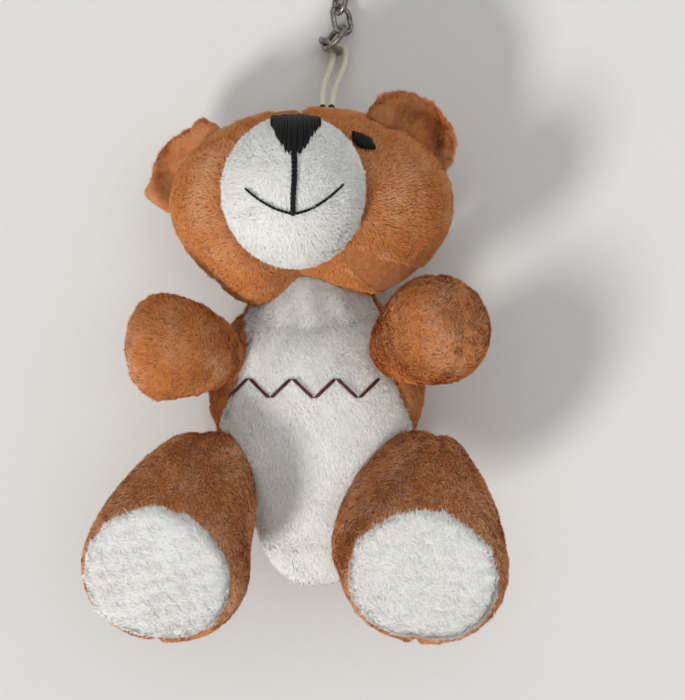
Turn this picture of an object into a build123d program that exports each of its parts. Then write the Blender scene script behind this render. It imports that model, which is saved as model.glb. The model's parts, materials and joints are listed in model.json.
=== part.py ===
from build123d import *
import math
import os

# A small plush bear keychain lying on its back. Millimetres, +Z up, +Y towards the head and the
# key ring, +X towards the bear's own left side. The origin is on the flat patch that the back
# rests on.

# ---- driving dimensions ----------------------------------------------------------------------
FABRIC = 1.2          # plush backing and pile, pressed flat
TUCK = 0.1            # air between a skin and its stuffing
STITCH = 0.5          # how far embroidery stands proud of the pile
FAR = 200.0           # larger than the whole bear

TORSO_MID_Z = 13.0    # height of the torso's middle above the surface
TORSO_DEPTH = 0.68    # depth of the torso over its width
TORSO_NECK_Y = 22.2   # where the torso's top is gathered flat
TORSO_SEAT_Y, TORSO_SEAT_RADIUS, TORSO_SEAT_TURN = -31.0, 8.0, 54
TORSO_WIDEST, TORSO_TOP = (20.4, 2.0), (11.5, 25.0)
BACK_SEAM_X = 1.0     # the back seam runs this far to the right of the middle
BELLY_OUTLINE = [(0, -40), (11, -24), (19.2, 1), (13.6, 13), (12.5, 30), (0, 30)]

COLLAR_MID, COLLAR_RADII, COLLAR_THICK = (-0.4, 22.7, 15.5), (6.5, 3.5), 0.6

HEAD_MID = (-0.7, 42.3, 19.6)
HEAD_RADII = (27.0, 18.4, 20.2)
HEAD_SEAM_X = -2.4
MUZZLE_MID = (-3.3, 42.5, 35.6)
MUZZLE_RADII = (13.3, 13.4, 14.3)

NOSE_OUTLINE = [(-6.7, 54.0), (-6.4, 50.6), (-4.0, 47.0), (-2.0, 47.0), (0.4, 50.6), (0.7, 54.0), (-3.0, 54.8)]
MOUTH_LOW = (-3.0, 37.4)
MOUTH_ENDS = ((-11.1, 42.0), (5.1, 42.8))
MOUTH_SAG = 0.9       # how far each side of the smile bows below its chord
MOUTH_WIDTH = 0.9
EYES = {"eye_left": ((8.5, 51.2), -38), "eye_right": ((-14.0, 51.4), 38)}
EYE_SIZE = (4.8, 2.5)

EAR_RADIUS, EAR_DEPTH = 9.4, 2.7
EARS = {"ear_left": ((17.0, 52.6, 25.5), (0.30, -0.20, 0.93)),
        "ear_right": ((-23.0, 49.6, 17.5), (-0.22, 0.16, 0.96))}

MOTIF_MID, MOTIF_STEP, MOTIF_COUNT = (-2.2, 8.0), 3.9, 7
MOTIF_BAR, MOTIF_LEAN = (4.6, 0.8), 35

# Limbs are turned shapes: the root starts at the point given, and the second vector is the way it runs.
ARM_ROOT_RADIUS, ARM_ROOT_TURN = 8.5, 55
ARM_WIDEST, ARM_LENGTH = (10.1, 11.5), 21.0
ARMS = {"arm_left": ((15.2, 15.4, 23.6), (0.50, 0.25, 0.83)),
        "arm_right": ((-15.2, 15.6, 28.6), (-0.97, 0.0, -0.15))}

LEG_ROOT_RADIUS, LEG_ROOT_TURN = 6.5, 50
LEG_WIDEST, LEG_LENGTH = (15.0, 23.5), 38.5
SOLE_TURN, SOLE_OFFSET = 48, 9.6    # the sole's lean off the leg's axis, and how far it is from the foot's middle
LEGS = {"leg_left": ((23.0, -0.6, 22.6), (-3.5, -21.4, 11.4)),
        "leg_right": ((-22.3, -0.6, 21.6), (-3.5, -20.9, 11.4))}

CORD_DIAMETER = 1.25
CORD_ROUTE = [(1.2, 61.2, 17.0), (1.1, 65.2, 12.2), (2.0, 69.4, 6.9), (3.1, 73.2, 3.2), (3.1, 76.4, 2.7),
              (5.7, 76.4, 2.7), (5.7, 73.2, 3.2), (4.6, 69.4, 6.9), (3.3, 65.2, 12.2), (2.9, 61.2, 17.0)]
CORD_TURN = 1.17      # the bend round the jump ring's wire
RUN_SHARE = 0.45      # share of the shorter run that a bend may use

WIRE = 0.55           # wire radius of the jump ring and the chain links
RING_RADIUS = 2.25    # jump ring, to the middle of its wire
RING_GRIP = (4.4, 75.0, 2.8)
RING_WAY = (-0.82, 0.57, 0.0)
RING_GAP = 16         # degrees left open in the jump ring
LINK_HALF_WIDTH = 1.95
LINK_STRAIGHT = 2.0
PLAY = 0.25
LINK_WAYS = [(0.54, 0.78, -0.26), (-0.14, 0.97, -0.20), (0.10, 0.98, -0.08), (0.26, 0.96, 0), (0.20, 0.98, 0)]
FIRST_ROLL = 30       # degrees that the first link leans over on the jump ring
SPLIT_RADIUS = 11.6   # to the middle of the split ring's coil
SPLIT_WIDTH, SPLIT_WIRE, SPLIT_SLIT = 1.5, 0.74, 0.08
SPLIT_WAY = (0.16, 0.985, -0.07)
SPLIT_PLAY = 0.6      # between the last link and the inside of the coil
RAMP = 16             # degrees over which the coil climbs from one turn to the next


def unit(v):
    return Vector(*v).normalized()


def shrunk(solid, inset):
    """The same shape, smaller by inset all round, about the middle of its box."""
    box = solid.bounding_box()
    by = tuple(1 - 2 * inset / side for side in box.size)
    return solid.scale(by, about=box.center()).solid()


def ellipsoid(middle, radii):
    with BuildPart(mode=Mode.PRIVATE) as ball:
        Sphere(1, rotation=(90, 90, 0))
        scale(by=radii, about=(0, 0, 0))
    return (Pos(*middle) * ball.part).solid()


def half_space(plane):
    """Everything on the side that the plane faces."""
    with BuildPart(plane, mode=Mode.PRIVATE) as half:
        Box(2 * FAR, 2 * FAR, FAR, align=(Align.CENTER, Align.CENTER, Align.MIN))
    return half.part.solid()


def skin(solid):
    """The fabric of a stuffed shape, all of it."""
    return (solid - shrunk(solid, FABRIC)).solid()


def bowed(start, end, sag):
    """The middle of a line from start to end, moved sideways by sag."""
    a, b = Vector(*start), Vector(*end)
    return (a + b) / 2 + Vector(a.Y - b.Y, b.X - a.X).normalized() * sag


def save(piece, name):
    piece.part.label = name
    export_step(piece.part, f"parts/{name}.step")


def halves(fabric, seam):
    """Two fabric panels that meet at the seam plane, the one it faces first."""
    found = []
    for mode in (Mode.INTERSECT, Mode.SUBTRACT):
        with BuildPart(mode=Mode.PRIVATE) as panel:
            add(fabric)
            add(half_space(seam), mode=mode)
        found.append(panel.part.solid())
    return found


def save_placed(solid, plane, name):
    """Writes a shape made in its own frame, where the plane puts it."""
    with BuildPart(plane) as piece:
        add(solid)
    save(piece, name)


def save_stitches(name, solid, column, less=()):
    """Writes the stitches that fill an outline's column where they stand proud of a surface."""
    with BuildPart() as stitches:
        add(shrunk(solid, -STITCH))
        add(solid, mode=Mode.SUBTRACT)
        add(column, mode=Mode.INTERSECT)
        for other in less:
            add(other, mode=Mode.SUBTRACT)
    save(stitches, name)


os.makedirs("parts", exist_ok=True)
ABOVE_SURFACE = half_space(Plane.XY)

# ---- torso -----------------------------------------------------------------------------------
with BuildPart(mode=Mode.PRIVATE) as torso_turned:
    with BuildSketch():
        with BuildLine():
            seat = JernArc((0, TORSO_SEAT_Y), (1, 0), TORSO_SEAT_RADIUS, TORSO_SEAT_TURN)
            flank = TangentArc(seat @ 1, TORSO_WIDEST, tangent=seat % 1)
            TangentArc(TORSO_WIDEST, TORSO_TOP, tangent=flank % 1)
            Polyline(TORSO_TOP, (0, TORSO_TOP[1]), (0, TORSO_SEAT_Y))
        make_face()
    revolve(axis=Axis.Y)
    scale(by=(1, 1, TORSO_DEPTH), about=(0, 0, 0))

with BuildPart(mode=Mode.PRIVATE) as torso_whole:
    add((Pos(0, 0, TORSO_MID_Z) * torso_turned.part).solid())
    add(half_space(Plane.XZ.offset(-TORSO_NECK_Y)), mode=Mode.INTERSECT)
    add(ABOVE_SURFACE, mode=Mode.INTERSECT)
torso = torso_whole.part.solid()

with BuildPart(mode=Mode.PRIVATE) as belly_column:
    with BuildSketch(Plane.XY.offset(TORSO_MID_Z)):
        with BuildLine():
            Polyline(*BELLY_OUTLINE, close=True)
        make_face()
        mirror(about=Plane.YZ)
    extrude(amount=FAR)
belly_cut = belly_column.part.solid()

with BuildPart() as belly_panel:
    add(skin(torso))
    add(belly_cut, mode=Mode.INTERSECT)
save(belly_panel, "belly_panel")
# Each back panel is cut as a left one, and the right one is then mirrored.
back_sides = []
for seam_x in (-BACK_SEAM_X, BACK_SEAM_X):
    with BuildPart(mode=Mode.PRIVATE) as back_side:
        add(skin(torso))
        add(belly_cut, mode=Mode.SUBTRACT)
        add(half_space(Plane.YZ.offset(seam_x)), mode=Mode.INTERSECT)
    back_sides.append(back_side.part.solid())
save_placed(back_sides[0], Plane.XY, "back_left_panel")
with BuildPart() as back_right_panel:
    mirror(back_sides[1], about=Plane.YZ)
save(back_right_panel, "back_right_panel")
save_placed(shrunk(torso, FABRIC + TUCK), Plane.XY, "torso_stuffing")

with BuildPart(mode=Mode.PRIVATE) as motif:
    with BuildSketch(Plane.XY.offset(TORSO_MID_Z)):
        for i in range(MOTIF_COUNT):
            x = MOTIF_MID[0] + (i - (MOTIF_COUNT - 1) / 2) * MOTIF_STEP
            for side in (-1, 1):
                with Locations(Location((x + side * MOTIF_STEP / 4, MOTIF_MID[1], 0), (0, 0, 90 + side * MOTIF_LEAN))):
                    SlotOverall(*MOTIF_BAR)
    extrude(amount=FAR)
with BuildPart() as chest_stitching:
    add(shrunk(torso, -STITCH))
    add(torso, mode=Mode.SUBTRACT)
    add(motif.part, mode=Mode.INTERSECT)
save(chest_stitching, "chest_stitching")

with BuildPart() as neck_collar:
    with BuildSketch(Plane(origin=COLLAR_MID, z_dir=(0, 1, 0))):
        Circle(COLLAR_RADII[0])
        Circle(COLLAR_RADII[1], mode=Mode.SUBTRACT)
    extrude(amount=COLLAR_THICK / 2, both=True)
save(neck_collar, "neck_collar")

# ---- head ------------------------------------------------------------------------------------
def head_shape(inset=0.0):
    """The head as an egg with a flat patch at its back, smaller by inset all round."""
    with BuildPart(mode=Mode.PRIVATE) as egg:
        add(ellipsoid(HEAD_MID, tuple(radius - inset for radius in HEAD_RADII)))
        add(half_space(Plane.XY.offset(inset)), mode=Mode.INTERSECT)
    return egg.part.solid()


head = head_shape()
muzzle = ellipsoid(MUZZLE_MID, MUZZLE_RADII)
HEAD_SEAM = Plane.YZ.offset(HEAD_SEAM_X)

head_fabric = (head - head_shape(FABRIC)).solid()
for name, half in zip(("head_left_panel", "head_right_panel"), halves(head_fabric, HEAD_SEAM)):
    with BuildPart() as head_panel:
        add(half)
        add(muzzle, mode=Mode.SUBTRACT)
    save(head_panel, name)
save_placed(head_shape(FABRIC + TUCK), Plane.XY, "head_stuffing")
with BuildPart() as muzzle_panel:
    add(skin(muzzle))
    add(head, mode=Mode.SUBTRACT)
save(muzzle_panel, "muzzle_panel")
with BuildPart() as muzzle_stuffing:
    add(shrunk(muzzle, FABRIC + TUCK))
    add(head_shape(FABRIC), mode=Mode.SUBTRACT)
save(muzzle_stuffing, "muzzle_stuffing")

with BuildPart(mode=Mode.PRIVATE) as nose_column:
    with BuildSketch(Plane.XY.offset(MUZZLE_MID[2])):
        with BuildLine():
            Polyline(*NOSE_OUTLINE, close=True)
        make_face()
        fillet(vertices(), radius=0.5)
    extrude(amount=FAR)
save_stitches("nose_embroidery", muzzle, nose_column.part.solid())

with BuildPart(mode=Mode.PRIVATE) as mouth_column:
    with BuildSketch(Plane.XY.offset(MUZZLE_MID[2])):
        lip_top = (MOUTH_LOW[0], NOSE_OUTLINE[2][1] - MOUTH_WIDTH / 2 - 0.1)
        SlotArc(Edge.make_line(lip_top, MOUTH_LOW), MOUTH_WIDTH)
        for end, sag in zip(MOUTH_ENDS, (MOUTH_SAG, -MOUTH_SAG)):
            SlotArc(Edge.make_three_point_arc(MOUTH_LOW, bowed(MOUTH_LOW, end, sag), end), MOUTH_WIDTH)
    extrude(amount=FAR)
save_stitches("mouth_embroidery", muzzle, mouth_column.part.solid())

for name, (middle, turn) in EYES.items():
    with BuildPart(mode=Mode.PRIVATE) as eye_column:
        with BuildSketch(Plane.XY.offset(HEAD_MID[2])):
            with Locations(Location((*middle, 0), (0, 0, turn))):
                Ellipse(EYE_SIZE[0] / 2, EYE_SIZE[1] / 2)
        extrude(amount=FAR)
    save_stitches(name, head, eye_column.part.solid(), less=(muzzle,))

for name, (middle, facing) in EARS.items():
    ear_plane = Plane(origin=middle, z_dir=facing)
    with BuildPart(ear_plane, mode=Mode.PRIVATE) as ear_whole:
        add(ellipsoid((0, 0, 0), (EAR_RADIUS, EAR_RADIUS, EAR_DEPTH)))
    for half, side in (("front", ear_plane), ("back", -ear_plane)):
        with BuildPart() as ear:
            add(ear_whole.part.solid())
            add(half_space(side), mode=Mode.INTERSECT)
            add(head, mode=Mode.SUBTRACT)
        save(ear, f"{name}_{half}")

# ---- arms and legs ---------------------------------------------------------------------------
with BuildPart(mode=Mode.PRIVATE) as arm_turned:
    with BuildSketch(Plane.XZ):
        with BuildLine():
            arm_root = JernArc((0, 0), (1, 0), ARM_ROOT_RADIUS, ARM_ROOT_TURN)
            arm_side = TangentArc(arm_root @ 1, ARM_WIDEST, tangent=arm_root % 1)
            TangentArc(ARM_WIDEST, (0, ARM_LENGTH), tangent=arm_side % 1)
            Line((0, ARM_LENGTH), (0, 0))
        make_face()
    revolve(axis=Axis.Z)

arm = arm_turned.part.solid()
arm_panels = halves(skin(arm), Plane.YZ)
for name, (shoulder, way) in ARMS.items():
    arm_plane = Plane(origin=shoulder, x_dir=Vector(0, 1, 0).cross(unit(way)), z_dir=way)
    save_placed(arm_panels[0], arm_plane, f"{name}_front_panel")
    save_placed(arm_panels[1], arm_plane, f"{name}_back_panel")
    save_placed(shrunk(arm, FABRIC + TUCK), arm_plane, f"{name}_stuffing")

with BuildPart(mode=Mode.PRIVATE) as leg_turned:
    with BuildSketch(Plane.XZ):
        with BuildLine():
            leg_root = JernArc((0, 0), (1, 0), LEG_ROOT_RADIUS, LEG_ROOT_TURN)
            leg_side = TangentArc(leg_root @ 1, LEG_WIDEST, tangent=leg_root % 1)
            TangentArc(LEG_WIDEST, (0, LEG_LENGTH), tangent=leg_side % 1)
            Line((0, LEG_LENGTH), (0, 0))
        make_face()
    revolve(axis=Axis.Z)

turn = math.radians(SOLE_TURN)
foot_plane = Plane(origin=(0, 0, LEG_WIDEST[1]), x_dir=(1, 0, 0), z_dir=(0, math.sin(turn), math.cos(turn)))
leg = (leg_turned.part.solid() - half_space(foot_plane.offset(SOLE_OFFSET))).solid()
sole_side = half_space(foot_plane.offset(SOLE_OFFSET - FABRIC))
leg_stuffing = (shrunk(leg, FABRIC + TUCK) - half_space(foot_plane.offset(SOLE_OFFSET - FABRIC - TUCK))).solid()
leg_panels = halves((skin(leg) - sole_side).solid(), Plane.YZ)
for name, (hip, way) in LEGS.items():
    leg_plane = Plane(origin=hip, x_dir=Vector(1, 0, 0) - unit(way) * unit(way).X, z_dir=way)
    sides = ("outer", "inner") if hip[0] > 0 else ("inner", "outer")
    for side, panel in zip(sides, leg_panels):
        save_placed(panel, leg_plane, f"{name}_{side}_panel")
    save_placed((leg & sole_side).solid(), leg_plane, f"{name}_sole")
    save_placed(leg_stuffing, leg_plane, f"{name}_stuffing")

# ---- hanging cord ----------------------------------------------------------------------------
route = [Vector(*point) for point in CORD_ROUTE]
runs = [b - a for a, b in zip(route, route[1:])]
bends = []
for before, after in zip(runs, runs[1:]):
    turn = math.radians(before.get_angle(after))
    bends.append(min(RUN_SHARE * min(before.length, after.length) / math.tan(turn / 2), FAR))
bends[3] = bends[4] = CORD_TURN
with BuildPart() as cord_loop:
    with BuildLine() as cord_line:
        FilletPolyline(*route, radius=bends)
    with BuildSketch(Plane(origin=cord_line.line @ 0, z_dir=cord_line.line % 0)):
        Circle(CORD_DIAMETER / 2)
    sweep()
save(cord_loop, "cord_loop")
cord_length = sum(edge.length for edge in cord_line.edges())
print("cord length", round(cord_length, 2), "bend radii", [round(r, 1) for r in bends])
print("cord volume over section times length",
      round(cord_loop.part.volume / (cord_length * math.pi * CORD_DIAMETER**2 / 4), 4))

# ---- jump ring, chain and split ring ---------------------------------------------------------
grip = Vector(*RING_GRIP)
ring_mid = grip + unit(RING_WAY) * RING_RADIUS
ring_plane = Plane(origin=ring_mid, x_dir=(0, 0, -1), z_dir=unit(RING_WAY).cross(Vector(0, 0, 1)))
with BuildPart(mode=Mode.PRIVATE) as ring_turned:
    with BuildSketch(Plane.XZ):
        with Locations((RING_RADIUS, 0)):
            Circle(WIRE)
    revolve(axis=Axis.Z, revolution_arc=360 - RING_GAP)
with BuildPart(ring_plane) as jump_ring:
    add(Rot(0, 0, RING_GAP / 2 + 30) * ring_turned.part)
save(jump_ring, "jump_ring")

# A link in its own frame: long axis X, lying in XY, its middle at the origin.
link_tip = LINK_STRAIGHT / 2 + LINK_HALF_WIDTH
with BuildPart(mode=Mode.PRIVATE) as link_flat:
    with BuildLine() as link_line:
        Line((-LINK_STRAIGHT / 2, LINK_HALF_WIDTH), (LINK_STRAIGHT / 2, LINK_HALF_WIDTH))
        ThreePointArc(link_line.line @ 1, (link_tip, 0), (LINK_STRAIGHT / 2, -LINK_HALF_WIDTH))
        Line((LINK_STRAIGHT / 2, -LINK_HALF_WIDTH), (-LINK_STRAIGHT / 2, -LINK_HALF_WIDTH))
        ThreePointArc((-LINK_STRAIGHT / 2, -LINK_HALF_WIDTH), (-link_tip, 0), (-LINK_STRAIGHT / 2, LINK_HALF_WIDTH))
    with BuildSketch(Plane(origin=(0, LINK_HALF_WIDTH, 0), z_dir=(1, 0, 0))):
        Circle(WIRE)
    sweep(path=Wire(link_line.edges()))

# Each element's near bow goes round the wire at the tip of the one before, a wire's play apart.
# A tip is held as its wire's middle and the direction that the wire runs in there.
tip, wire_way = ring_mid + Vector(0, 0, RING_RADIUS), -unit(RING_WAY)
tips = [(tip, wire_way)]
for number, direction in enumerate(LINK_WAYS, 1):
    way = unit(direction)
    across = (wire_way - way * wire_way.dot(way)).normalized()
    if number == 1:
        across = across.rotate(Axis((0, 0, 0), tuple(way)), FIRST_ROLL)
    middle = tip + way * (link_tip - 2 * WIRE - PLAY)
    link_plane = Plane(origin=middle, x_dir=way, z_dir=across)
    with BuildPart(link_plane) as chain_link:
        add(link_flat.part)
    save(chain_link, f"chain_link_{number}")
    tip, wire_way = middle + way * link_tip, link_plane.y_dir
    tips.append((tip, wire_way))

# The split ring's coil: two turns, a slit apart, joined where the wire climbs between them.
with BuildPart(mode=Mode.PRIVATE) as split_coil:
    for side in (-1, 1):
        with BuildSketch(Plane.XZ):
            with Locations((SPLIT_RADIUS, side * (SPLIT_WIRE + SPLIT_SLIT) / 2)):
                RectangleRounded(SPLIT_WIDTH, SPLIT_WIRE, 0.2)
        revolve(axis=Axis.Z, revolution_arc=side * (360 - RAMP / 2))
    with BuildSketch(Plane.XZ):
        with Locations((SPLIT_RADIUS, 0)):
            RectangleRounded(SPLIT_WIDTH, 2 * SPLIT_WIRE + SPLIT_SLIT, 0.2)
    revolve(axis=Axis.Z, revolution_arc=RAMP)
split_way = unit(SPLIT_WAY)
split_mid = tip + split_way * (SPLIT_RADIUS - WIRE - SPLIT_WIDTH / 2 - SPLIT_PLAY)
split_plane = Plane(origin=split_mid, x_dir=split_way, z_dir=split_way.cross(Vector(-1, 0, 0)))
with BuildPart(split_plane) as split_ring:
    add(Rot(0, 0, 60) * split_coil.part)
save(split_ring, "split_ring")
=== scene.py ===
import json
import math
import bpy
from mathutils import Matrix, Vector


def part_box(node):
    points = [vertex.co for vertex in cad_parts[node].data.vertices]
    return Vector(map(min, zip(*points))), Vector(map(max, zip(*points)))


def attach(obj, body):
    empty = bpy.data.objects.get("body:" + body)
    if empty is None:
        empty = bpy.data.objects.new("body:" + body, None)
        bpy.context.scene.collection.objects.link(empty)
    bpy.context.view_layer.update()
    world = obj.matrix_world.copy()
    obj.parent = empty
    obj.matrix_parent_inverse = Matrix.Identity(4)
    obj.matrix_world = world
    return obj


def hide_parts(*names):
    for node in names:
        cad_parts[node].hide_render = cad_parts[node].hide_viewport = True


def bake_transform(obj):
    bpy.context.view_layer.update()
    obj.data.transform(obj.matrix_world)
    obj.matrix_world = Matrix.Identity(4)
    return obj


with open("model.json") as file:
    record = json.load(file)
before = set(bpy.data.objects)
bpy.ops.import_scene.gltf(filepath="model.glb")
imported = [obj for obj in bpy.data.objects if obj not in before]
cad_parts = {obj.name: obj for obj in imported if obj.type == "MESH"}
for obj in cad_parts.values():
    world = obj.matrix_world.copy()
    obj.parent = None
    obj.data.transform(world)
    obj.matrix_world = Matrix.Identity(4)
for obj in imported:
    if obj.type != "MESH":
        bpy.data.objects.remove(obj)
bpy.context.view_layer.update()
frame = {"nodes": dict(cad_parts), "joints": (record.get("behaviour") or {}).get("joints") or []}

from types import SimpleNamespace

import bpy
import numpy as np
from mathutils import Vector
from mathutils.bvhtree import BVHTree

MM = 0.001
VOXEL = 1.15          # mm, of the first even mesh of each stuffed form
PILE_DEPTH = 0.75     # mm, how far the backing lies under the CAD's outer face
SIM_SCALE = 8         # the cloth runs on a larger copy, where its settings behave
SIM_FRAMES = 16
MAX_PUFF = 0.9        # mm, the furthest that the cloth may carry a point
PRESSURE = 4.0
DENSE, MEDIUM = 66000, 52000               # strands of pile on one piece, of three triangles each
SEAM_HOLD = 1.6       # mm either side of a seam where the cloth is held
LEAST_HOLD = 0.12     # how firmly the cloth is held far from its seams
rest_joints = {j["name"]: j for j in frame["joints"]}
scene = bpy.context.scene
collection = scene.collection


def unit(v):
    v = np.asarray(v, float)
    return v / np.maximum(np.linalg.norm(v, axis=-1, keepdims=True), 1e-9)


def middle(node):
    low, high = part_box(node)
    return np.array((low + high) / 2) / MM


# ---------------------------------------------------------------- camera

CAMERA_AT = (5.0, 15.0, 250.0)
camera = bpy.data.objects.new("camera", bpy.data.cameras.new("camera"))
camera.data.sensor_fit = "VERTICAL"
camera.data.angle = math.radians(31.9)
camera.location = Vector(CAMERA_AT) * MM
collection.objects.link(camera)
scene.camera = camera
scene.view_settings.view_transform = "Standard"


# ---------------------------------------------------------------- materials

def new_material(name):
    material = bpy.data.materials.new(name)
    material.use_nodes = True
    nodes = material.node_tree.nodes
    return material, nodes, material.node_tree.links, nodes["Principled BSDF"]


def add(nodes, kind, **sockets):
    node = nodes.new(kind)
    for key, value in sockets.items():
        node.inputs[key].default_value = value
    return node


def mix_colours(nodes, links, factor, low, high):
    mix = nodes.new("ShaderNodeMix")
    mix.data_type = "RGBA"
    links.new(factor, mix.inputs["Factor"])
    for socket, colour in ((mix.inputs[6], low), (mix.inputs[7], high)):
        if isinstance(colour, tuple):
            socket.default_value = (*colour, 1)
        else:
            links.new(colour, socket)
    return mix.outputs[2]


def noise_factor(nodes, links, scale, detail, low, high):
    place = nodes.new("ShaderNodeTexCoord")
    texture = add(nodes, "ShaderNodeTexNoise", Scale=scale, Detail=detail, Roughness=0.6)
    links.new(place.outputs["Object"], texture.inputs["Vector"])
    spread = nodes.new("ShaderNodeMapRange")
    spread.inputs["From Min"].default_value = low
    spread.inputs["From Max"].default_value = high
    links.new(texture.outputs["Fac"], spread.inputs["Value"])
    return spread.outputs["Result"]


def plush(name, root, tip, pale, roughness=0.85, sheen=0.35):
    """Pile colour: darker at the root as painted shade, lighter at the tip, with paler patches of painted
    sheen where the pile is brushed.
    """
    material, nodes, links, shader = new_material(name)
    shade = nodes.new("ShaderNodeAttribute")
    shade.attribute_name = "shade"
    # Painted shade: the root colour is darker, for the shade at the base of the pile.
    strand = mix_colours(nodes, links, shade.outputs["Fac"], root, tip)
    fleck = noise_factor(nodes, links, 850, 2, 0.50, 0.80)
    flecked = mix_colours(nodes, links, fleck, strand, root)
    # Painted sheen: paler patches where brushed pile catches the light.
    sheen_patch = noise_factor(nodes, links, 130, 3, 0.44, 0.78)
    links.new(mix_colours(nodes, links, sheen_patch, flecked, pale), shader.inputs["Base Color"])
    shader.inputs["Roughness"].default_value = roughness
    shader.inputs["Sheen Weight"].default_value = sheen
    shader.inputs["Sheen Roughness"].default_value = 0.5
    shader.inputs["Sheen Tint"].default_value = (*tip, 1)
    shader.inputs["Specular IOR Level"].default_value = 0.25
    return material


def backing(name, dark, light):
    """The knitted ground that shows between the strands, coloured darker than the pile as painted shade under
    the strands.
    """
    material, nodes, links, shader = new_material(name)
    knit = noise_factor(nodes, links, 900, 4, 0.35, 0.65)
    links.new(mix_colours(nodes, links, knit, dark, light), shader.inputs["Base Color"])
    bump = add(nodes, "ShaderNodeBump", Strength=0.5, Distance=0.0003)
    links.new(knit, bump.inputs["Height"])
    links.new(bump.outputs["Normal"], shader.inputs["Normal"])
    shader.inputs["Roughness"].default_value = 0.95
    return material


def thread(name, dark, light, roughness=0.45):
    material, nodes, links, shader = new_material(name)
    fibre = noise_factor(nodes, links, 2600, 3, 0.3, 0.7)
    links.new(mix_colours(nodes, links, fibre, dark, light), shader.inputs["Base Color"])
    bump = add(nodes, "ShaderNodeBump", Strength=0.4, Distance=0.0001)
    links.new(fibre, bump.inputs["Height"])
    links.new(bump.outputs["Normal"], shader.inputs["Normal"])
    shader.inputs["Roughness"].default_value = roughness
    shader.inputs["Specular IOR Level"].default_value = 0.3
    return material


def aged_metal(name):
    """Nickel plate, worn bright on the high spots and brown in the hollows."""
    material, nodes, links, shader = new_material(name)
    stain = noise_factor(nodes, links, 900, 5, 0.38, 0.62)
    colour = mix_colours(nodes, links, stain, (0.085, 0.065, 0.048), (0.33, 0.30, 0.26))
    place = nodes.new("ShaderNodeNewGeometry")
    worn = nodes.new("ShaderNodeMapRange")
    worn.inputs["From Min"].default_value = 0.50
    worn.inputs["From Max"].default_value = 0.58
    links.new(place.outputs["Pointiness"], worn.inputs["Value"])
    links.new(mix_colours(nodes, links, worn.outputs["Result"], colour, (0.52, 0.50, 0.46)),
              shader.inputs["Base Color"])
    rough = nodes.new("ShaderNodeMapRange")
    rough.inputs["To Min"].default_value = 0.55
    rough.inputs["To Max"].default_value = 0.28
    links.new(stain, rough.inputs["Value"])
    links.new(rough.outputs["Result"], shader.inputs["Roughness"])
    bump = add(nodes, "ShaderNodeBump", Strength=0.35, Distance=0.0001)
    links.new(stain, bump.inputs["Height"])
    links.new(bump.outputs["Normal"], shader.inputs["Normal"])
    shader.inputs["Metallic"].default_value = 0.9
    return material


# Each pile's root colour is darker as painted shade at the base of the pile, and its pale colour is painted
# sheen.
BROWN = plush("brown_pile", (0.50, 0.165, 0.045), (0.80, 0.310, 0.098), (0.80, 0.42, 0.21), sheen=0.22)
# The pale strands: their lighter colour and stronger sheen are painted sheen.
SHEEN_PALE_BROWN = plush("painted_sheen_brown_pile", (0.58, 0.25, 0.10), (0.84, 0.47, 0.27), (0.88, 0.60, 0.42), sheen=0.4)
WHITE = plush("white_pile", (0.86, 0.855, 0.82), (0.965, 0.965, 0.945), (0.98, 0.98, 0.97), sheen=0.2)
SPARKLE = plush("white_glint", (0.80, 0.80, 0.80), (0.97, 0.97, 0.98), (1, 1, 1), roughness=0.22, sheen=0.1)
# Both backings are darker than their pile: painted shade under the strands.
BROWN_BACK = backing("brown_backing", (0.36, 0.120, 0.036), (0.46, 0.165, 0.052))
WHITE_BACK = backing("white_backing", (0.80, 0.79, 0.75), (0.88, 0.87, 0.84))
BLACK_THREAD = thread("black_thread", (0.0015, 0.0015, 0.002), (0.008, 0.008, 0.009), 0.6)
MAROON_THREAD = thread("maroon_thread", (0.055, 0.008, 0.012), (0.13, 0.030, 0.035))
CREAM_CORD = thread("cream_cord", (0.62, 0.57, 0.43), (0.82, 0.78, 0.66), 0.5)
METAL = aged_metal("aged_nickel")

# ---------------------------------------------------------------- the cord

CORD_ROUTE = [(1.2, 61.2, 17.0), (1.1, 65.2, 12.2), (2.0, 69.4, 6.9), (3.1, 73.2, 3.2), (3.1, 76.4, 2.7),
              (5.7, 76.4, 2.7), (5.7, 73.2, 3.2), (4.6, 69.4, 6.9), (3.3, 65.2, 12.2), (2.9, 61.2, 17.0)]
CORD_DIAMETER = 1.25
cord_curve = bpy.data.curves.new("cord", "CURVE")
cord_curve.dimensions = "3D"
cord_curve.resolution_u = 12
cord_curve.bevel_depth = CORD_DIAMETER / 2 * MM
cord_curve.bevel_resolution = 5
spline = cord_curve.splines.new("NURBS")
spline.points.add(len(CORD_ROUTE) - 1)
for point, place in zip(spline.points, CORD_ROUTE):
    point.co = (*(Vector(place) * MM), 1)
spline.order_u = 3
spline.use_endpoint_u = True
cord_curve.materials.append(CREAM_CORD)
cord = bpy.data.objects.new("cord", cord_curve)
collection.objects.link(cord)
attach(cord, "cord")
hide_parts("cord_loop")


# ---------------------------------------------------------------- mesh helpers

def make_object(name, points, faces, materials, smooth=True):
    """A new object from points in mm."""
    mesh = bpy.data.meshes.new(name)
    mesh.from_pydata((np.asarray(points) * MM).tolist(), [], [list(f) for f in faces])
    mesh.polygons.foreach_set("use_smooth", np.full(len(mesh.polygons), smooth))
    for material in materials:
        mesh.materials.append(material)
    made = bpy.data.objects.new(name, mesh)
    collection.objects.link(made)
    return made


def node_shape(nodes):
    """Points in mm and faces of some CAD nodes together."""
    points, faces, start = [], [], 0
    for node in nodes:
        mesh = frame["nodes"][node].data
        co = np.empty(len(mesh.vertices) * 3)
        mesh.vertices.foreach_get("co", co)
        points.append(co.reshape(-1, 3) / MM)
        faces += [[start + i for i in p.vertices] for p in mesh.polygons]
        start += len(mesh.vertices)
    return np.concatenate(points), faces


def tree_of(points, faces):
    return BVHTree.FromPolygons([Vector(p) for p in points], faces)


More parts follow.
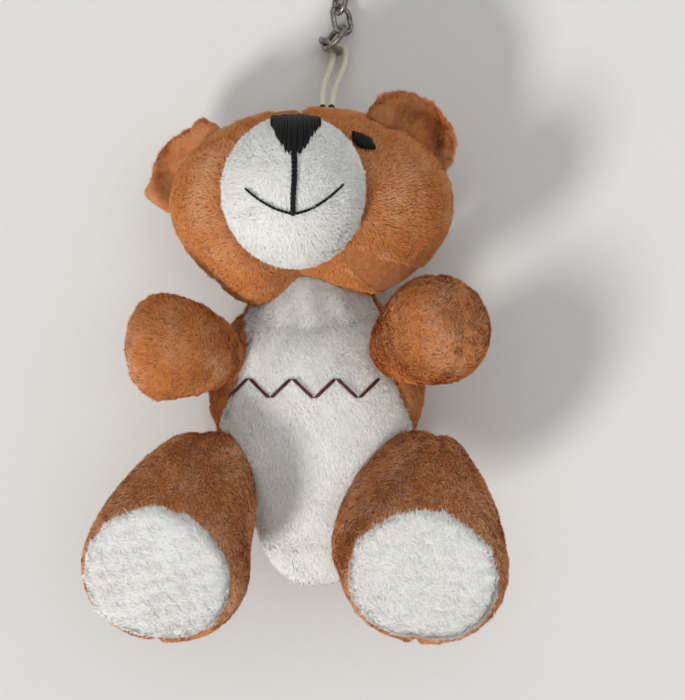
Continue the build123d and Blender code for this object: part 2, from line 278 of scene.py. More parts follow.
def read_mesh(mesh, scale=1.0):
    co = np.empty(len(mesh.vertices) * 3)
    mesh.vertices.foreach_get("co", co)
    return co.reshape(-1, 3) * scale, [list(p.vertices) for p in mesh.polygons]


def applied(made, modifiers):
    """The mesh that an object has with these modifiers: (kind, {setting: value})."""
    for kind, settings in modifiers:
        modifier = made.modifiers.new(kind, kind)
        for key, value in settings.items():
            setattr(modifier, key, value)
    graph = bpy.context.evaluated_depsgraph_get()
    mesh = bpy.data.meshes.new_from_object(made.evaluated_get(graph))
    made.modifiers.clear()
    return mesh


def outer_shell(points, faces):
    """Only the widest connected piece of a mesh, so that no inner wall is left."""
    parent = np.arange(len(points))

    def find(i):
        while parent[i] != i:
            parent[i] = parent[parent[i]]
            i = parent[i]
        return i

    for face in faces:
        root = find(face[0])
        for i in face[1:]:
            parent[find(i)] = root
    roots = np.array([find(i) for i in range(len(points))])
    best = max(set(roots.tolist()), key=lambda r: np.ptp(points[roots == r], axis=0).sum())
    kept = roots == best
    index = np.cumsum(kept) - 1
    return points[kept], [[int(index[i]) for i in f] for f in faces if kept[f[0]]]


def vertex_normals(points, faces):
    """Normals at the points, from the quads where there are any."""
    corners = np.array([f[:3] if len(f) == 3 else f[:4] for f in faces if len(f) == 4] or faces)
    if corners.shape[1] == 4:
        a, b, c, d = (points[corners[:, k]] for k in range(4))
        flat = np.cross(c - a, d - b)
    else:
        a, b, c = (points[corners[:, k]] for k in range(3))
        flat = np.cross(b - a, c - a)
    normals = np.zeros_like(points)
    for k in range(corners.shape[1]):
        np.add.at(normals, corners[:, k], flat)
    return unit(normals)


def smooth_bump(distance, width):
    return np.exp(-(np.asarray(distance) / width) ** 2)


def ramp(x, low, high):
    t = np.clip((np.asarray(x) - low) / (high - low), 0, 1)
    return t * t * (3 - 2 * t)


# ---------------------------------------------------------------- stuffed forms

class Form:
    """One stuffed form: its even mesh in mm, and how far each point is from each of its panels."""

    def __init__(self, name, panels, filling, voxel=VOXEL):
        self.name, self.panels = name, panels
        points, faces = node_shape(panels + filling)
        rough = make_object(name + "_rough", points, faces, [])
        even = applied(rough, [("REMESH", {"mode": "VOXEL", "voxel_size": voxel * MM})])
        bpy.data.objects.remove(rough)
        points, faces = read_mesh(even, 1 / MM)
        self.points, self.faces = outer_shell(points, faces)
        self.relax(3)
        self.plain_tree = tree_of(self.points, self.faces)
        self.distances = []
        for panel in panels:
            tree = tree_of(*node_shape([panel]))
            self.distances.append(np.array([tree.find_nearest(Vector(p))[3] for p in self.points]))

    def relax(self, rounds):
        """Evens out the steps that the voxels leave."""
        sides = {tuple(sorted(pair)) for f in self.faces for pair in zip(f, f[1:] + f[:1])}
        edges = np.array(sorted(sides))
        count = np.bincount(edges.ravel(), minlength=len(self.points))[:, None]
        for step in range(2 * rounds):
            total = np.zeros_like(self.points)
            np.add.at(total, edges[:, 0], self.points[edges[:, 1]])
            np.add.at(total, edges[:, 1], self.points[edges[:, 0]])
            self.points = self.points + (0.5 if step % 2 == 0 else -0.51) * (total / count - self.points)

    def seam_distance(self):
        if len(self.distances) < 2:
            return np.full(len(self.points), 99.0)
        return np.sort(np.array(self.distances), axis=0)[1]

    def finish(self, groove=0.8, groove_width=0.9, inset=PILE_DEPTH):
        """Insets the form to the backing, refines it and sinks its seams."""
        self.points = self.points - vertex_normals(self.points, self.faces) * inset
        made = make_object(self.name + "_coarse", self.points, self.faces, [])
        for i, distance in enumerate(self.distances):
            carried = made.data.attributes.new(f"d{i}", "FLOAT", "POINT")
            carried.data.foreach_set("value", distance.astype(np.float32))
        fine = applied(made, [("SUBSURF", {"levels": 1, "render_levels": 1})])
        bpy.data.objects.remove(made)
        self.points, self.faces = read_mesh(fine, 1 / MM)
        distances = []
        for i in range(len(self.panels)):
            value = np.empty(len(self.points), np.float32)
            fine.attributes[f"d{i}"].data.foreach_get("value", value)
            distances.append(value)
        self.distances = distances
        normals = vertex_normals(self.points, self.faces)
        sunk = groove * smooth_bump(self.seam_distance(), groove_width)
        self.points = self.points - normals * sunk[:, None]
        self.normals = vertex_normals(self.points, self.faces)
        quads = np.array(self.faces)
        self.triangles = np.concatenate([quads[:, [0, 1, 2]], quads[:, [0, 2, 3]]])
        nearest = np.array(self.distances).argmin(axis=0)
        self.region = nearest[self.triangles[:, 0]]
        self.face_region = nearest[quads[:, 0]]
        self.seam = self.seam_distance()
        self.tree = tree_of(self.points, self.faces)

    def skin(self, materials, slot, replaced, fill):
        made = make_object(self.name + "_skin", self.points, self.faces, [BROWN_BACK, WHITE_BACK])
        chosen = np.array(materials)[self.face_region].astype(np.int32)
        made.data.polygons.foreach_set("material_index", chosen)
        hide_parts(*replaced)
        return made


def puff(forms, pressure):
    """Inflates every form's cloth at once, held at its seams, and keeps the result in its points."""
    made = []
    for form in forms:
        cloth_object = make_object(form.name + "_cloth", form.points * SIM_SCALE, form.faces, [])
        group = cloth_object.vertex_groups.new(name="held")
        seam = form.seam_distance()
        held = np.maximum(smooth_bump(seam, SEAM_HOLD), LEAST_HOLD)
        for i, weight in enumerate(held):
            group.add([i], float(weight), "REPLACE")
        cloth = cloth_object.modifiers.new("cloth", "CLOTH")
        settings = cloth.settings
        settings.quality = 5
        settings.mass = 0.15
        settings.tension_stiffness = settings.compression_stiffness = 12
        settings.shear_stiffness = 6
        settings.bending_stiffness = 0.6
        settings.use_pressure = True
        settings.uniform_pressure_force = pressure
        settings.vertex_group_mass = "held"
        settings.pin_stiffness = 0.6
        settings.effector_weights.gravity = 0
        cloth.point_cache.frame_start = 1
        cloth.point_cache.frame_end = SIM_FRAMES
        made.append((form, cloth_object))
    for number in range(1, SIM_FRAMES + 1):
        scene.frame_set(number)
    graph = bpy.context.evaluated_depsgraph_get()
    for form, cloth_object in made:
        mesh = bpy.data.meshes.new_from_object(cloth_object.evaluated_get(graph))
        points, _ = read_mesh(mesh, 1 / MM / SIM_SCALE)
        moved = points - form.points
        length = np.linalg.norm(moved, axis=1, keepdims=True)
        form.points = form.points + moved * np.minimum(1, MAX_PUFF / np.maximum(length, 1e-6))
        bpy.data.objects.remove(cloth_object)
    scene.frame_set(1)


def waves(points, size, seed):
    """A smooth field of three numbers between about -1 and 1 that changes over this many mm."""
    rng = np.random.default_rng(seed)
    total = np.zeros_like(points)
    for _ in range(6):
        way = unit(rng.normal(size=3)) * (2 * math.pi / size) * rng.uniform(0.6, 1.6)
        total += np.sin(points @ way + rng.uniform(0, 6.28, 1))[:, None] * rng.normal(size=3)
    return total / 2.6


def fur(name, form, regions, count, length, lean, comb, materials, seed, body=None,
        avoid=(), width=0.11, fluff=0.4, seam_gap=0.2, glint=0.0, inside=()):
    """Strands of pile on some panels of a form, in mm and degrees.

    comb gives the way that the pile lies at each point, and glint the share of strands that take the
    second material, as a number or as a function of place. Strands keep clear of the stitches in avoid,
    and none grow inside the other forms.
    """
    rng = np.random.default_rng(seed)
    triangles = form.triangles[np.isin(form.region, regions)]
    corners = form.points[triangles]
    area = np.linalg.norm(np.cross(corners[:, 1] - corners[:, 0], corners[:, 2] - corners[:, 0]), axis=1)
    pick = rng.choice(len(triangles), count, p=area / area.sum())
    share = rng.uniform(size=(count, 2))
    over = share.sum(axis=1) > 1
    share[over] = 1 - share[over]
    weights = np.column_stack([1 - share.sum(axis=1), share])[:, :, None]
    base = (corners[pick] * weights).sum(axis=1)
    normal = unit((form.normals[triangles[pick]] * weights).sum(axis=1))
    seam = (form.seam[triangles[pick]] * weights[:, :, 0]).sum(axis=1)
    kept = seam > seam_gap
    for other in inside:
        for i in np.flatnonzero(kept):
            spot, way, _, far = other.tree.find_nearest(Vector(base[i]))
            if (Vector(base[i]) - spot).dot(way) < 0.1:
                kept[i] = False
    for path, gap in avoid:
        for i in np.flatnonzero(kept):
            if path.find_nearest(Vector(base[i]), gap)[0] is not None:
                kept[i] = False
    base, normal, seam = base[kept], normal[kept], seam[kept]
    n = len(base)
    flow = unit(comb(base, normal)) + fluff * waves(base, 9.0, seed + 1)
    flow = flow + 0.6 * fluff * waves(base, 2.6, seed + 2)
    flow = flow + rng.normal(scale=0.42, size=(n, 3))
    tangent = unit(flow - (flow * normal).sum(axis=1, keepdims=True) * normal)
    tilt = np.radians(lean + 11 * waves(base, 3.4, seed + 3)[:, 0] + rng.normal(scale=8, size=n))[:, None]
    tilt = np.clip(tilt, 0.05, 1.35)
    stem = np.cos(tilt) * normal + np.sin(tilt) * tangent
    bent = np.clip(tilt + 0.45, 0, 1.5)
    end = np.cos(bent) * normal + np.sin(bent) * tangent
    reach = length * rng.uniform(0.7, 1.25, (n, 1)) * (1 + 0.15 * waves(base, 3.0, seed + 4)[:, 1:2])
    across = unit(np.cross(stem, normal))
    turn = rng.uniform(-0.9, 0.9, (n, 1))
    across = np.cos(turn) * across + np.sin(turn) * np.cross(stem, across)
    wide = width * rng.uniform(0.7, 1.3, (n, 1)) / 2
    low = base - 0.12 * normal
    mid = base + stem * reach * 0.5
    tip = mid + end * reach * 0.5
    points = np.stack([low - across * wide, low + across * wide, mid + across * wide * 0.85,
                       mid - across * wide * 0.85, tip], axis=1).reshape(-1, 3)
    strands = np.arange(n)[:, None] * 5
    quads = strands + np.array([[0, 1, 2, 3]])
    tips = strands + np.array([[3, 2, 4]])
    mesh = bpy.data.meshes.new(name)
    mesh.vertices.add(len(points))
    mesh.vertices.foreach_set("co", (points * MM).ravel())
    mesh.loops.add(7 * n)
    mesh.loops.foreach_set("vertex_index", np.concatenate([quads, tips], axis=1).ravel().astype(np.int32))
    mesh.polygons.add(2 * n)
    starts = np.arange(n)[:, None] * 7 + np.array([[0, 4]])
    mesh.polygons.foreach_set("loop_start", starts.ravel().astype(np.int32))
    mesh.polygons.foreach_set("use_smooth", np.ones(2 * n, bool))
    for material in materials:
        mesh.materials.append(material)
    if glint:
        chance = glint(base) if callable(glint) else glint
        chosen = np.repeat(rng.uniform(size=n) < chance, 2).astype(np.int32)
        mesh.polygons.foreach_set("material_index", chosen)
    mesh.update(calc_edges=True)
    # Painted shade along each strand: darkest at the root, lightest at the tip, with a random shift per
    # strand.
    lit = rng.normal(scale=0.16, size=(n, 1))
    shade = np.clip(np.array([[0.05, 0.05, 0.55, 0.55, 1.0]]) + lit, 0, 1)
    mesh.attributes.new("shade", "FLOAT", "POINT").data.foreach_set("value", shade.ravel().astype(np.float32))
    flat = unit(np.cross(across, stem))
    soft = unit(normal * 0.8 + flat * 0.45)
    ends = unit(normal * 0.9 + flat * 0.2 + tangent * 0.1)
    shading = np.stack([soft, soft, soft, soft, ends], axis=1).reshape(-1, 3)
    mesh.normals_split_custom_set_from_vertices(shading.tolist())
    spread_uv(mesh, base, n)
    made = bpy.data.objects.new(name, mesh)
    collection.objects.link(made)
    if body:
        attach(made, body)
    return made


def spread_uv(mesh, base, n):
    """Lays each strand's colour beside its neighbours', on an even map of directions from the middle."""
    outward = unit(base - base.mean(axis=0))
    pole = unit(outward.mean(axis=0) + (0, 0, 1e-3))
    side = unit(np.cross(pole, (0.3, 0.9, 0.1)))
    angle = np.arccos(np.clip(outward @ pole, -1, 1)) / math.pi
    turn = np.arctan2(outward @ np.cross(pole, side), outward @ side)
    middle_uv = 0.5 + 0.47 * angle[:, None] * np.column_stack([np.cos(turn), np.sin(turn)])
    step = 0.002
    quad = [[0, 0], [step, 0], [step, step], [0, step]]
    tip = [[0, step], [step, step], [step / 2, 2 * step]]
    corners = np.array(quad + tip)
    layer = mesh.uv_layers.new(name="OFBake")
    layer.data.foreach_set("uv", (middle_uv[:, None, :] + corners[None]).ravel().astype(np.float32))


def tube(path, radius, sides=8, plies=1, twist=1.2):
    """Points and faces of a thread along a path of points; two plies wind round each other."""
    path = np.asarray(path, float)
    ahead = unit(np.gradient(path, axis=0))
    up = np.array([0.0, 0.0, 1.0])
    side = unit(np.cross(ahead, up) + (1e-6, 0, 0))
    over = np.cross(side, ahead)
    run = np.concatenate([[0], np.cumsum(np.linalg.norm(np.diff(path, axis=0), axis=1))])
    points, faces = [], []
    for ply in range(plies):
        phase = run / twist * 2 * math.pi + ply * math.pi
        shift = 0 if plies == 1 else radius * 0.5
        centre = path + shift * (np.cos(phase)[:, None] * side + np.sin(phase)[:, None] * over)
        thick = radius if plies == 1 else radius * 0.62
        start = len(points)
        taper = np.ones(len(path))
        taper[0] = taper[-1] = 0.35
        for k in range(len(path)):
            for s in range(sides):
                a = 2 * math.pi * s / sides
                outward = math.cos(a) * side[k] + math.sin(a) * over[k]
                points.append(centre[k] + taper[k] * thick * outward)
        for k in range(len(path) - 1):
            for s in range(sides):
                t = (s + 1) % sides
                faces.append([start + k * sides + s, start + k * sides + t,
                              start + (k + 1) * sides + t, start + (k + 1) * sides + s])
        faces.append([start + s for s in range(sides)][::-1])
        faces.append([start + (len(path) - 1) * sides + s for s in range(sides)])
    return points, faces


def join_tubes(parts):
    points, faces = [], []
    for some, others in parts:
        start = len(points)
        points += list(some)
        faces += [[start + i for i in f] for f in others]
    return np.array(points), faces


def drop_on(form, places, lift, high=80.0):
    """Points straight above these places, this far over a form's backing."""
    found = []
    for x, y in places:
        spot, way, _, _ = form.tree.ray_cast(Vector((x, y, high)), Vector((0, 0, -1)))
        if spot is None or way.z < 0.2:
            beside = (x, y, form.points[:, 2].mean())
            spot, way, _, _ = form.tree.find_nearest(Vector(beside))
        found.append(np.array(spot + way * lift))
    return np.array(found)


def line(a, b, steps):
    t = np.linspace(0, 1, steps)[:, None]
    return np.asarray(a) * (1 - t) + np.asarray(b) * t


# ---------------------------------------------------------------- the forms and their shapes

torso = Form("torso", ["belly_panel", "back_left_panel", "back_right_panel"], ["torso_stuffing"])
head = Form("head", ["head_left_panel", "head_right_panel"], ["head_stuffing"])
muzzle = Form("muzzle", ["muzzle_panel"], ["muzzle_stuffing"], voxel=0.9)
ears = {side: Form(f"ear_{side}", [f"ear_{side}_front", f"ear_{side}_back"], [], voxel=0.7)
        for side in ("left", "right")}
arms = {side: Form(f"arm_{side}", [f"arm_{side}_front_panel", f"arm_{side}_back_panel"],
                   [f"arm_{side}_stuffing"]) for side in ("left", "right")}
legs = {side: Form(f"leg_{side}",
                   [f"leg_{side}_outer_panel", f"leg_{side}_inner_panel", f"leg_{side}_sole"],
                   [f"leg_{side}_stuffing"]) for side in ("left", "right")}


def joint_place(name):
    return np.array(rest_joints[name]["pos_m"]) / MM


head_middle = (np.array(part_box("head_left_panel")[1]) + np.array(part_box("head_right_panel")[0])) / 2 / MM
muzzle_middle = middle("muzzle_panel")


RIM_INNER, RIM_MIDDLE, RIM_THICK = 6.6, 7.3, 2.2     # mm, of an ear


def shape_head():
    """Full cheeks that hang beside a notch under the chin."""
    local = head.points - head_middle
    low = ramp(-local[:, 1], 2, 15)
    cheeks = smooth_bump(local[:, 0] + 12.0, 8.5) + 0.45 * smooth_bump(local[:, 0] - 14.0, 8.5)
    head.points[:, 1] -= 2.6 * cheeks * low
    chin = smooth_bump(local[:, 0] + 1.6, 5.0) + 0.45 * smooth_bump(local[:, 0] - 5.5, 6.0)
    head.points[:, 1] += 4.6 * np.minimum(chin, 1) * low * ramp(local[:, 2], -8, 4)
    head.points[:, 2] += 1.2 * cheeks * low * ramp(local[:, 2], -2, 8)


def shape_ear(form, front, cup_shift, cup_depth):
    """A cupped front inside a full round rim."""
    centre = form.points.mean(axis=0)
    local = form.points - centre
    depth = local @ front
    flat = local - depth[:, None] * front
    radius = np.linalg.norm(flat, axis=1)
    turn = np.arctan2(depth * 1.2, radius - RIM_INNER)
    share = ramp(radius, 4.5, 7.5)
    new_radius = radius + share * (RIM_MIDDLE + RIM_THICK * np.cos(turn) - radius)
    new_depth = depth + share * (RIM_THICK * np.sin(turn) - depth)
    hollow = np.linalg.norm(flat - cup_shift, axis=1)
    new_depth -= cup_depth * ramp(7.6 - hollow, 0, 4.8) * (depth > 0)
    form.points = centre + unit(flat) * new_radius[:, None] + front * new_depth[:, None]
    form.relax(3)


def shape_seat():
    """A broad round seat."""
    low = ramp(-torso.points[:, 1], 16, 30)
    torso.points[:, 0] *= 1 + 0.30 * low


def blunt(form, hinge, start, keep):
    """Shortens a limb past this distance from its pivot, which leaves its end blunt."""
    pivot = joint_place(hinge)
    way = unit(form.points.mean(axis=0) - pivot)
    past = np.maximum((form.points - pivot) @ way - start, 0)
    form.points -= way * ((1 - keep) * past)[:, None]


def root_of(form, hinge, centre, radius, sink=2.2):
    """Draws a limb's root on to the torso, past its fabric by sink.

    Returns where it joins, the middle of its round root, and the way that the limb runs.
    """
    pivot = joint_place(hinge)
    way = unit(form.points.mean(axis=0) - pivot)
    root = pivot + way * centre
    spot = np.array(torso.plain_tree.find_nearest(Vector(root))[0])
    towards = unit(spot - root)
    pull = np.linalg.norm(spot - root) - radius + sink
    facing = (form.points - root) @ towards / radius
    form.points += towards * (pull * ramp(facing, 0.1, 1.0))[:, None]
    return spot, root, way


# Each ear's place against its CAD solid, then its cup's place on it and how deep the cup is, all in mm.
EAR_SHIFTS = {"left": (-0.9, -0.5, 0.0), "right": (1.0, -1.5, 0.0)}
EAR_CUPS = {"left": ((1.6, -1.6, 0.0), 4.0), "right": ((0.8, -0.8, 0.0), 2.6)}
shape_head()
shape_seat()
ear_fronts = {side: unit(middle(f"ear_{side}_front") - middle(f"ear_{side}_back")) for side in ears}
for side, form in ears.items():
    cup_shift, cup_depth = EAR_CUPS[side]
    shape_ear(form, ear_fronts[side], np.array(cup_shift), cup_depth)
    form.points += EAR_SHIFTS[side]
BLUNT_FROM, BLUNT_KEEP = 8.0, 0.72
blunt(arms["right"], "arm_right_raise", BLUNT_FROM, BLUNT_KEEP)
roots = {}
for side in ("left", "right"):
    roots[f"arm_{side}"] = root_of(arms[side], f"arm_{side}_raise", 3.5, 8.5)
    roots[f"leg_{side}"] = root_of(legs[side], f"leg_{side}_swing", 1.5, 6.5)

puff([torso, head, muzzle, *arms.values(), *legs.values()], PRESSURE)
for form in (torso, head, muzzle, *legs.values()):
    form.finish()
for form in arms.values():
    form.finish(groove=0.3)
for form in ears.values():
    form.finish(groove=0.2, groove_width=0.6, inset=0.45)


# ---------------------------------------------------------------- stitching

def join_thread(name, parts, material, body, node):
    points, faces = join_tubes(parts)
    made = make_object(name, points, faces, [material])
    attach(made, body)
    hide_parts(node)
    return made


def box_mm(node):
    low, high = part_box(node)
    return np.array(low) / MM, np.array(high) / MM


rng = np.random.default_rng(5)
nose_low, nose_high = box_mm("nose_embroidery")
nose_wide, nose_tall = (nose_high - nose_low)[:2]
NOSE_TOP = [(0, 0.93), (0.2, 1.05), (0.5, 1.08), (0.8, 1.05), (1, 0.92)]
NOSE_FOOT = [(0, 0.72), (0.12, 0.45), (0.36, 0.02), (0.5, -0.04), (0.64, 0.02), (0.88, 0.45), (1, 0.72)]
nose_parts = []
STITCHES = 34
for layer in range(2):
    for i in range(STITCHES):
        u = (i + 0.5) / STITCHES
        top = np.interp(u, *zip(*NOSE_TOP)) + rng.uniform(-0.03, 0.04)
        foot = np.interp(u, *zip(*NOSE_FOOT)) + rng.uniform(-0.05, 0.04)
        slant = rng.uniform(-0.02, 0.02) + 0.10 * (0.5 - u) * (1 if layer else 0.2)
        a = (nose_low[0] + (u - slant) * nose_wide, nose_low[1] + foot * nose_tall)
        b = (nose_low[0] + (u + slant * 0.3) * nose_wide, nose_low[1] + top * nose_tall)
        path = drop_on(muzzle, line(a, b, 11), 0.0)
        arch = np.sin(np.linspace(0, math.pi, 11)) ** 0.6
        crown = 0.3 + (0.8 + 0.22 * layer + rng.uniform(-0.06, 0.06)) * arch
        path += (drop_on(muzzle, line(a, b, 11), 1.0) - path) * crown[:, None]
        nose_parts.append(tube(path, 0.16, sides=6))
join_thread("nose_stitches", nose_parts, BLACK_THREAD, "head", "nose_embroidery")

mouth_low, mouth_high = box_mm("mouth_embroidery")
mouth_mid = (nose_low[0] + nose_high[0]) / 2
mouth_foot = (mouth_mid, mouth_low[1] + 0.4)
mouth_left = (mouth_low[0] + 0.3, mouth_low[1] + 4.9)
mouth_right = (mouth_high[0] - 0.3, mouth_low[1] + 5.7)
mouth_parts = []
for shift in (-0.24, 0.2):
    stem = line((mouth_mid + shift, nose_low[1] + 0.5), (mouth_mid + shift * 0.7, mouth_foot[1]), 28)
    stem[:, 0] += 0.12 * np.sin(np.linspace(0, 5, 28))
    path = drop_on(muzzle, stem, 0.85)
    mouth_parts.append(tube(path, 0.30, plies=2, twist=1.5))
for end in (mouth_left, mouth_right):
    t = np.linspace(0, 1, 34)[:, None]
    control = np.array([(mouth_foot[0] + end[0]) / 2, mouth_foot[1] + 0.5])
    smile = (1 - t) ** 2 * np.array(mouth_foot) + 2 * t * (1 - t) * control + t * t * np.array(end)
    for number in range(3):
        piece = smile[number * 11:number * 11 + 13]
        path = drop_on(muzzle, piece, 0.0)
        crown = np.sin(np.linspace(0.25, math.pi - 0.25, len(path))) ** 0.5
        path[:, 2] += 0.45 + 0.45 * crown
        mouth_parts.append(tube(path, 0.25, plies=2, twist=1.3))
join_thread("mouth_stitches", mouth_parts, BLACK_THREAD, "head", "mouth_embroidery")


def eye(side, slope, wide, tall, shift=(0, 0)):
    """An almond of satin stitches."""
    spot = middle(f"eye_{side}")[:2] + shift
    way = np.array([math.cos(math.radians(slope)), math.sin(math.radians(slope))])
    up = np.array([-way[1], way[0]])
    parts = []
    for i in range(22):
        u = (i + 0.5) / 22 * 2 - 1
        half = tall / 2 * (1 - abs(u) ** 2.2) * rng.uniform(0.92, 1.08)
        lean = 0.25 + 0.15 * rng.uniform()
        a = spot + way * (u * wide / 2 - lean * half) - up * half
        b = spot + way * (u * wide / 2 + lean * half) + up * half
        path = drop_on(head, line(a, b, 7), 0.0)
        over = drop_on(head, [spot], 1.0)[0] - drop_on(head, [spot], 0.0)[0]
        crown = np.sin(np.linspace(0.2, math.pi - 0.2, 7)) ** 0.7
        path += over * (0.35 + 0.95 * crown)[:, None]
        parts.append(tube(path, 0.17, sides=6))
    join_thread(f"eye_{side}_stitches", parts, BLACK_THREAD, "head", f"eye_{side}")
    return spot


eye_spots = {"left": eye("left", -38, 5.0, 2.7), "right": eye("right", 38, 4.0, 2.2, (1.9, -0.3))}

motif_low, motif_high = box_mm("chest_stitching")
BARS = 7
motif_parts, motif_path = [], []
bar_wide = (motif_high[0] - motif_low[0]) / BARS
for i in range(BARS):
    x0 = motif_low[0] + i * bar_wide
    foot, top = motif_low[1] + 0.2, motif_high[1] - 0.2
    a, b = ((x0 + 0.2, foot), (x0 + bar_wide - 0.2, top))
    if i % 2:
        a, b = (x0 + 0.2, top), (x0 + bar_wide - 0.2, foot)
    for shift in (-0.16, 0.18):
        path = drop_on(torso, line(np.array(a) + (shift, 0), np.array(b) + (shift, 0), 12), 0.0)
        crown = np.sin(np.linspace(0.15, math.pi - 0.15, 12)) ** 0.5
        path[:, 2] += 0.35 + 0.55 * crown
        motif_parts.append(tube(path, 0.24, plies=2, twist=1.1))
        motif_path += list(path)
join_thread("chest_motif", motif_parts, MAROON_THREAD, "torso", "chest_stitching")


def tree_of_paths(points):
    """A search tree over places, one tiny triangle at each."""
    points = np.asarray(points)
    corners = np.concatenate([points, points + (0.01, 0, 0), points + (0, 0.01, 0)])
    n = len(points)
    return tree_of(corners, [[i, i + n, i + 2 * n] for i in range(n)])


nose_tree = tree_of_paths([p for part in nose_parts for p in part[0][::6]])
mouth_tree = tree_of_paths([p for part in mouth_parts for p in part[0][::8]])
motif_tree = tree_of_paths(motif_path)


# ---------------------------------------------------------------- skins and pile

def fixed(*way):
    return lambda base, normal: np.tile(np.array(way, float), (len(base), 1))


def away_from(spot, extra=(0, 0, 0), pull=0.0):
    spot, extra = np.array(spot, float), np.array(extra, float)
    return lambda base, normal: unit(base - spot) + pull * extra


torso_skin = torso.skin([1, 0, 0], "brown_plush", ["belly_panel", "back_left_panel", "back_right_panel",
                                                   "torso_stuffing"], 0.8)
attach(torso_skin, "torso")
fur("belly_pile", torso, [0], DENSE, 1.15, 57, fixed(0.25, -1, 0), [WHITE, SPARKLE], 11, "torso",
    avoid=[(motif_tree, 0.42)], fluff=0.35, glint=0.10, width=0.14)
fur("back_left_pile", torso, [1], MEDIUM, 1.05, 45, fixed(0.3, -1, -0.2), [BROWN], 12, "torso")
fur("back_right_pile", torso, [2], MEDIUM, 1.05, 45, fixed(-0.3, -1, -0.2), [BROWN], 13, "torso")

head_skin = head.skin([0, 0], "brown_plush", ["head_left_panel", "head_right_panel", "head_stuffing"], 0.9)
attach(head_skin, "head")
head_comb = away_from(muzzle_middle, (0, 0.2, -0.8), 0.8)
eye_trees = {}
for side, spot in eye_spots.items():
    around = [spot + (dx, dy) for dx in (-1, 0, 1) for dy in (-0.6, 0, 0.6)]
    eye_trees[side] = tree_of_paths(drop_on(head, around, 0.3))
fur("head_left_pile", head, [0], DENSE, 1.0, 54, head_comb, [BROWN], 21, "head", inside=[muzzle],
    avoid=[(eye_trees["left"], 1.0)])
fur("head_right_pile", head, [1], DENSE, 1.0, 54, head_comb, [BROWN], 22, "head", inside=[muzzle],
    avoid=[(eye_trees["right"], 1.0)])

muzzle_skin = muzzle.skin([1], "white_plush", ["muzzle_panel", "muzzle_stuffing"], 0.9)
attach(muzzle_skin, "head")
fur("muzzle_pile", muzzle, [0], 64000, 1.1, 52, away_from((*muzzle_middle[:2], muzzle_middle[2] + 4)),
    [WHITE, SPARKLE], 31, "head", avoid=[(nose_tree, 0.30), (mouth_tree, 0.30)], fluff=0.4,
    glint=0.10, seam_gap=0, inside=[head], width=0.13)

for number, (side, form) in enumerate(ears.items()):
    skin = form.skin([0, 0], "brown_plush", [f"ear_{side}_front", f"ear_{side}_back"], 0.4)
    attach(skin, "head")
    fur(f"ear_{side}_pile", form, [0, 1], MEDIUM, 1.3, 46, away_from(head_middle), [BROWN], 41 + number,
        "head", inside=[head], seam_gap=0, fluff=0.6)

# Share of strands in the pale material, painted sheen on brushed-up pile: on the legs and at the arms' far
# ends.
LEG_PAINTED_SHEEN = 0.45
ARM_PAINTED_SHEEN = {"left": 0.30, "right": 0.75}


def painted_sheen_end(root, way, form, side):
    """The share of pale strands of painted sheen: most of them at the limb's far end."""
    reach = ((form.points - root) @ way).max()
    return lambda base: ARM_PAINTED_SHEEN[side] * ramp((base - root) @ way, reach - 5.0, reach - 0.5)


for number, side in enumerate(("left", "right")):
    for kind, form, panels, limb_length in (
            ("arm", arms[side], ["front_panel", "back_panel"], 1.2),
            ("leg", legs[side], ["outer_panel", "inner_panel", "sole"], 1.05)):
        limb = f"{kind}_{side}"
        spot, root, way = roots[limb]
        solids = [f"{limb}_{p}" for p in panels + ["stuffing"]]
        skin = form.skin([0, 0, 1][:len(panels)], "brown_plush", solids, 0.8)
        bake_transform(skin)
        seed = 61 + 10 * number + (5 if kind == "leg" else 0)
        # On the legs a share of the strands take the pale material: painted sheen that lightens them.
        pile = fur(f"{limb}_pile", form, [0, 1], DENSE if kind == "leg" else MEDIUM, limb_length, 60,
                   fixed(*way), [BROWN, SHEEN_PALE_BROWN], seed, fluff=0.6, inside=[torso],
                   glint=painted_sheen_end(root, way, form, side) if kind == "arm" else LEG_PAINTED_SHEEN)
        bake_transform(pile)
        if kind == "leg":
            sole_way = np.cross(way, (0.2, -0.4, 0.9) if side == "right" else (0.9, 0.3, 0.2))
            sole = fur(f"{limb}_sole_pile", form, [2], 56000, 1.35, 58, fixed(*sole_way), [WHITE, SPARKLE],
                       seed + 2, limb, fluff=0.35, glint=0.12, seam_gap=0.1,
                       width=0.13)

# The neck: the top of the body, drawn in under the head.
NECK_STEPS, NECK_SIDES = 20, 96
NECK_START, NECK_LENGTH = -7.0, 13.0       # mm along Y, from the collar's middle
NECK_HEIGHT, NECK_RISE = 13.0, 2.6         # mm, of its middle line
NECK_DEPTH, NECK_TAPER, NECK_WIDTH = 11.6, 5.2, 1.42
neck_low, neck_high = box_mm("neck_collar")
neck_middle = (neck_low + neck_high) / 2
neck_points, neck_faces = [], []
for k in range(NECK_STEPS):
    t = k / (NECK_STEPS - 1)
    y = neck_middle[1] + NECK_START + NECK_LENGTH * t
    for s in range(NECK_SIDES):
        a = 2 * math.pi * s / NECK_SIDES
        gather = 1 + 0.03 * math.sin(13 * a) * smooth_bump(t - 0.55, 0.2)
        deep = (NECK_DEPTH - NECK_TAPER * t) * gather
        neck_points.append((neck_middle[0] + NECK_WIDTH * deep * math.cos(a), y,
                            NECK_HEIGHT + NECK_RISE * t + deep * math.sin(a)))
for k in range(NECK_STEPS - 1):
    for s in range(NECK_SIDES):
        t = (s + 1) % NECK_SIDES
        near, far = k * NECK_SIDES, (k + 1) * NECK_SIDES
        neck_faces.append([near + s, far + s, far + t, near + t])

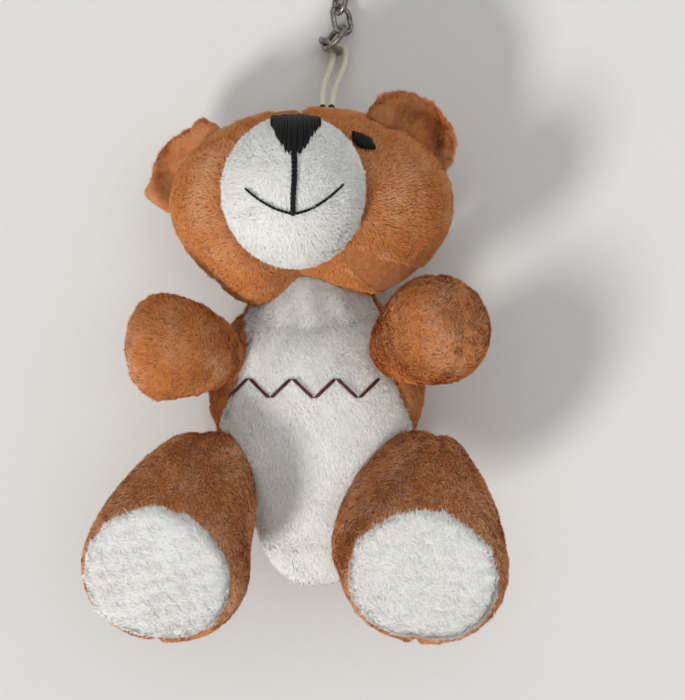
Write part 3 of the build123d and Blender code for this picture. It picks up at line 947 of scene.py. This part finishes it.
neck = SimpleNamespace(points=np.array(neck_points))
neck.normals = vertex_normals(neck.points, neck_faces)
quads = np.array(neck_faces)
neck.triangles = np.concatenate([quads[:, [0, 1, 2]], quads[:, [0, 2, 3]]])
top_side = neck.points[:, 2] > neck_middle[2] + 1.5
neck.region = top_side[neck.triangles[:, 0]].astype(int)
neck.seam = np.full(len(neck.points), 99.0)
neck_skin = make_object("neck_skin", neck.points, neck_faces, [BROWN_BACK, WHITE_BACK])
neck_skin.data.polygons.foreach_set("material_index", top_side[quads[:, 0]].astype(np.int32))
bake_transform(neck_skin)
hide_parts("neck_collar")
neck_back = fur("neck_back_pile", neck, [0], 20000, 1.1, 45, fixed(0, -1, 0), [BROWN], 91,
                inside=[torso, head])
neck_front = fur("neck_front_pile", neck, [1], 24000, 1.3, 45, fixed(0, -1, 0), [WHITE, SPARKLE], 92,
                 inside=[torso, head], glint=0.1)
for piece in (neck_back, neck_front):
    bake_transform(piece)

# ---------------------------------------------------------------- metal

for node in ["jump_ring", "split_ring"] + [n for n in frame["nodes"] if n.startswith("chain_link")]:
    mesh = frame["nodes"][node].data
    mesh.materials.clear()
    mesh.materials.append(METAL)

# ---------------------------------------------------------------- floor and light

floor_material, nodes, links, shader = new_material("floor")
grain = noise_factor(nodes, links, 14, 3, 0.3, 0.7)
floor_colour = mix_colours(nodes, links, grain, (0.735, 0.733, 0.720), (0.755, 0.753, 0.742))
links.new(floor_colour, shader.inputs["Base Color"])
shader.inputs["Roughness"].default_value = 0.8
FLOOR_HALF = 1500
floor = make_object("floor", [(-FLOOR_HALF, -FLOOR_HALF, 0), (FLOOR_HALF, -FLOOR_HALF, 0),
                              (FLOOR_HALF, FLOOR_HALF, 0), (-FLOOR_HALF, FLOOR_HALF, 0)], [[0, 1, 2, 3]],
                    [floor_material], smooth=False)

world = bpy.data.worlds.new("studio")
world.use_nodes = True
world.node_tree.nodes["Background"].inputs["Color"].default_value = (0.98, 0.99, 1.0, 1)
world.node_tree.nodes["Background"].inputs["Strength"].default_value = 0.27
scene.world = world


def soft_sun(name, energy, spread, direction, colour):
    """A lamp far away in this direction, as wide as a studio panel."""
    lamp = bpy.data.lights.new(name, "SUN")
    lamp.energy = energy
    lamp.angle = math.radians(spread)
    lamp.color = colour
    made = bpy.data.objects.new(name, lamp)
    made.rotation_euler = Vector(direction).to_track_quat("Z", "Y").to_euler()
    collection.objects.link(made)


soft_sun("key_light", 2.05, 12, (-0.73, -1.05, 1.0), (1.0, 0.985, 0.955))
soft_sun("fill_light", 1.05, 80, (0.15, 0.35, 1.0), (1.0, 1.0, 0.985))
